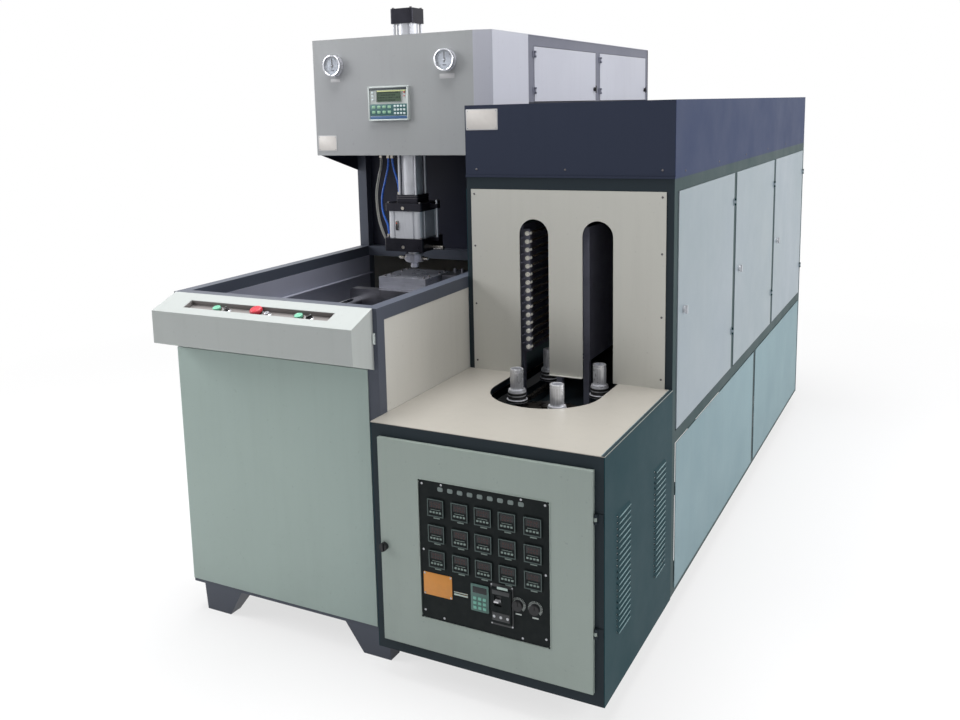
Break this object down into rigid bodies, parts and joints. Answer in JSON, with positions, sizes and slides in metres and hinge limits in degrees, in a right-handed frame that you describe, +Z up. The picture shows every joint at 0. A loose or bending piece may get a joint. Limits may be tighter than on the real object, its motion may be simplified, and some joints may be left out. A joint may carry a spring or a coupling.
{
  "type": "blow moulding machine",
  "caption": "Stretch blow moulding machine: blowing unit with clamp well, overhanging head and stretch cylinder, beside a tunnel heater with mandrel chain and control cabinet.",
  "frame": {"origin": "on the floor, under the centre of the whole machine's bounding box", "axes": "+X to the operator's right, from the blowing unit to the heater; +Y away from the operator, along the long side; +Z up"},
  "size_m": [1.511, 3.276, 2.058],
  "materials": {
    "frame_paint": "semi-gloss dark slate paint",
    "hood_paint": "semi-gloss dark slate paint",
    "panel_paint": "light grey-green paint",
    "head_paint": "light grey paint",
    "console_paint": "light grey paint",
    "well_sheet": "plain sheet steel",
    "collar_steel": "bright rings",
    "start_green": "green plastic",
    "stop_red": "red plastic",
    "dark_fittings": "black plastic",
    "gauge_case": "chromed case, pale dial",
    "gauge_needle": "black",
    "hmi_case": "silver grey plastic",
    "cylinder_alloy": "anodised and machined",
    "cylinder_cap_black": "black anodised",
    "rod_chrome": "hard chrome",
    "nozzle_steel": "turned stainless steel",
    "blue_hose_tube": "blue nylon tube",
    "clear_hose_tube": "clear grey tube",
    "fitting": "plated fittings",
    "platen_steel": "ground steel plates",
    "clamp_paint": "grey paint",
    "mould_alloy": "milled aluminium",
    "heater_skin": "dark teal paint",
    "oven_door_paint": "pale blue-grey paint",
    "table_steel": "satin stainless sheet",
    "slot_steel": "satin stainless sheet",
    "cabinet_door_paint": "light grey-green paint",
    "panel_black": "black instrument panel",
    "lever_black": "bright handle",
    "dial_black": "black knobs",
    "chain_steel": "oiled steel",
    "mandrel_steel": "turned steel over a black body",
    "motor_paint": "blue-grey paint",
    "lamp_quartz": "clear quartz",
    "reflector": "polished sheet"
  },
  "bodies": {
    "machine": {"blow_frame": "frame_paint", "base_panels": "panel_paint", "console": "console_paint", "button_collars": "collar_steel", "clamp_well": "well_sheet", "head_cover": "head_paint", "tower_panels": "head_paint", "gauge_cases": "gauge_case", "operator_panel": "hmi_case", "cylinder_caps": "cylinder_cap_black", "cylinder_tubes": "cylinder_alloy", "blue_hose_short": "blue_hose_tube", "blue_hose_long": "blue_hose_tube", "grey_hose": "clear_hose_tube", "air_fittings": "fitting", "tie_bars": "rod_chrome", "clamp_cylinder": "clamp_paint", "clamp_plates": "platen_steel", "mould_half_rear": "mould_alloy", "heater_frame": "frame_paint", "table_top": "table_steel", "slot_panel": "slot_steel", "hood": "hood_paint", "heater_panels": "heater_skin", "drive_chain": "chain_steel", "oven_mandrels": "mandrel_steel", "gear_motor": "motor_paint", "lamp_tubes": "lamp_quartz", "lamp_reflectors": "reflector"},
    "gauge_needle_left": {"gauge_needle_left": "gauge_needle"},
    "gauge_needle_right": {"gauge_needle_right": "gauge_needle"},
    "start_button_left": {"start_button_left": "start_green"},
    "start_button_right": {"start_button_right": "start_green"},
    "stop_button": {"stop_button": "stop_red"},
    "head_door_front": {"head_door_front": "head_paint"},
    "head_latch_front": {"head_latch_front": "dark_fittings"},
    "head_door_rear": {"head_door_rear": "head_paint"},
    "head_latch_rear": {"head_latch_rear": "dark_fittings"},
    "oven_door_1": {"oven_door_1": "oven_door_paint"},
    "oven_lock_1": {"oven_lock_1": "dark_fittings"},
    "oven_door_2": {"oven_door_2": "oven_door_paint"},
    "oven_lock_2": {"oven_lock_2": "dark_fittings"},
    "oven_door_3": {"oven_door_3": "oven_door_paint"},
    "oven_lock_3": {"oven_lock_3": "dark_fittings"},
    "cabinet_door": {"cabinet_door": "cabinet_door_paint", "control_panel": "panel_black"},
    "door_knob": {"door_knob": "dark_fittings"},
    "breaker_lever": {"breaker_lever": "lever_black"},
    "dial_left": {"dial_left": "dial_black"},
    "dial_right": {"dial_right": "dial_black"},
    "blow_nozzle": {"blow_nozzle": "nozzle_steel"},
    "stretch_rod": {"stretch_rod": "rod_chrome"},
    "moving_clamp": {"moving_platen": "platen_steel", "mould_half_front": "mould_alloy"},
    "sprocket_front": {"sprocket_front": "chain_steel"},
    "sprocket_rear": {"sprocket_rear": "chain_steel"},
    "mandrel_1": {"mandrel_1": "mandrel_steel"},
    "mandrel_2": {"mandrel_2": "mandrel_steel"},
    "mandrel_3": {"mandrel_3": "mandrel_steel"},
    "mandrel_4": {"mandrel_4": "mandrel_steel"}
  },
  "joints": [
    {"name": "gauge_left_needle", "type": "hinge", "parent": "machine", "child": "gauge_needle_left", "pos_m": [-0.6545, -0.703, 1.858], "axis": [0, 1, 0], "range_deg": [-135, 135]},
    {"name": "gauge_right_needle", "type": "hinge", "parent": "machine", "child": "gauge_needle_right", "pos_m": [-0.1645, -0.703, 1.858], "axis": [0, 1, 0], "range_deg": [-135, 135]},
    {"name": "start_left_press", "type": "slide", "parent": "machine", "child": "start_button_left", "axis": [0, 0.3411, -0.94], "range_m": [0, 0.003], "stiffness_N_per_m": 400, "springref_m": -0.001},
    {"name": "start_right_press", "type": "slide", "parent": "machine", "child": "start_button_right", "axis": [0, 0.3411, -0.94], "range_m": [0, 0.003], "stiffness_N_per_m": 400, "springref_m": -0.001},
    {"name": "stop_press", "type": "slide", "parent": "machine", "child": "stop_button", "axis": [0, 0.3411, -0.94], "range_m": [0, 0.003], "stiffness_N_per_m": 400, "springref_m": -0.001},
    {"name": "head_door_front_swing", "type": "hinge", "parent": "machine", "child": "head_door_front", "pos_m": [0.0083, -0.269, 1.8], "axis": [0, 0, -1], "range_deg": [0, 100]},
    {"name": "head_latch_front_turn", "type": "hinge", "parent": "head_door_front", "child": "head_latch_front", "pos_m": [0.01, 0.4175, 1.752], "axis": [1, 0, 0], "range_deg": [0, 90]},
    {"name": "head_door_rear_swing", "type": "hinge", "parent": "machine", "child": "head_door_rear", "pos_m": [0.0083, 0.5025, 1.8], "axis": [0, 0, -1], "range_deg": [0, 100]},
    {"name": "head_latch_rear_turn", "type": "hinge", "parent": "head_door_rear", "child": "head_latch_rear", "pos_m": [0.01, 1.189, 1.752], "axis": [1, 0, 0], "range_deg": [0, 90]},
    {"name": "oven_door_1_swing", "type": "hinge", "parent": "machine", "child": "oven_door_1", "pos_m": [0.7458, -0.084, 1.03], "axis": [0, 0, 1], "range_deg": [0, 100]},
    {"name": "oven_lock_1_turn", "type": "hinge", "parent": "oven_door_1", "child": "oven_lock_1", "pos_m": [0.7475, -0.816, 1.029], "axis": [1, 0, 0], "range_deg": [0, 90]},
    {"name": "oven_door_2_swing", "type": "hinge", "parent": "machine", "child": "oven_door_2", "pos_m": [0.7458, 0.763, 1.03], "axis": [0, 0, 1], "range_deg": [0, 100]},
    {"name": "oven_lock_2_turn", "type": "hinge", "parent": "oven_door_2", "child": "oven_lock_2", "pos_m": [0.7475, 0.031, 1.029], "axis": [1, 0, 0], "range_deg": [0, 90]},
    {"name": "oven_door_3_swing", "type": "hinge", "parent": "machine", "child": "oven_door_3", "pos_m": [0.7458, 1.61, 1.03], "axis": [0, 0, 1], "range_deg": [0, 100]},
    {"name": "oven_lock_3_turn", "type": "hinge", "parent": "oven_door_3", "child": "oven_lock_3", "pos_m": [0.7475, 0.878, 1.029], "axis": [1, 0, 0], "range_deg": [0, 90]},
    {"name": "cabinet_door_swing", "type": "hinge", "parent": "machine", "child": "cabinet_door", "pos_m": [0.7185, -1.588, 0.46], "axis": [0, 0, 1], "range_deg": [0, 110]},
    {"name": "door_knob_turn", "type": "hinge", "parent": "cabinet_door", "child": "door_knob", "pos_m": [0.0725, -1.601, 0.421], "axis": [0, 1, 0], "range_deg": [0, 90]},
    {"name": "breaker_throw", "type": "hinge", "parent": "cabinet_door", "child": "breaker_lever", "pos_m": [0.4395, -1.5975, 0.334], "axis": [1, 0, 0], "range_deg": [0, 50]},
    {"name": "dial_left_turn", "type": "hinge", "parent": "cabinet_door", "child": "dial_left", "pos_m": [0.4985, -1.599, 0.333], "axis": [0, 1, 0], "range_deg": [-135, 135]},
    {"name": "dial_right_turn", "type": "hinge", "parent": "cabinet_door", "child": "dial_right", "pos_m": [0.5485, -1.599, 0.333], "axis": [0, 1, 0], "range_deg": [-135, 135]},
    {"name": "nozzle_drop", "type": "slide", "parent": "machine", "child": "blow_nozzle", "axis": [0, 0, -1], "range_m": [0, 0.0245]},
    {"name": "stretch_stroke", "type": "slide", "parent": "machine", "child": "stretch_rod", "axis": [0, 0, -1], "range_m": [0, 0.3]},
    {"name": "clamp_stroke", "type": "slide", "parent": "machine", "child": "moving_clamp", "axis": [0, -1, 0], "range_m": [0, 0.14]},
    {"name": "front_sprocket_turn", "type": "hinge", "parent": "machine", "child": "sprocket_front", "pos_m": [0.3855, -1.104, 0.723], "axis": [0, 0, 1], "continuous": true},
    {"name": "rear_sprocket_turn", "type": "hinge", "parent": "machine", "child": "sprocket_rear", "pos_m": [0.3855, 0.4962, 0.723], "axis": [0, 0, 1], "continuous": true},
    {"name": "mandrel_1_spin", "type": "hinge", "parent": "machine", "child": "mandrel_1", "pos_m": [0.27207, -1.0786, 0.77], "axis": [0, 0, 1], "continuous": true},
    {"name": "mandrel_2_spin", "type": "hinge", "parent": "machine", "child": "mandrel_2", "pos_m": [0.27207, -0.7992, 0.77], "axis": [0, 0, 1], "continuous": true},
    {"name": "mandrel_3_spin", "type": "hinge", "parent": "machine", "child": "mandrel_3", "pos_m": [0.45622, -1.19268, 0.77], "axis": [0, 0, 1], "continuous": true},
    {"name": "mandrel_4_spin", "type": "hinge", "parent": "machine", "child": "mandrel_4", "pos_m": [0.49893, -0.9262, 0.77], "axis": [0, 0, 1], "continuous": true}
  ],
  "couplings": [
    {"joint": "rear_sprocket_turn", "follows": "front_sprocket_turn", "ratio": 1}
  ]
}
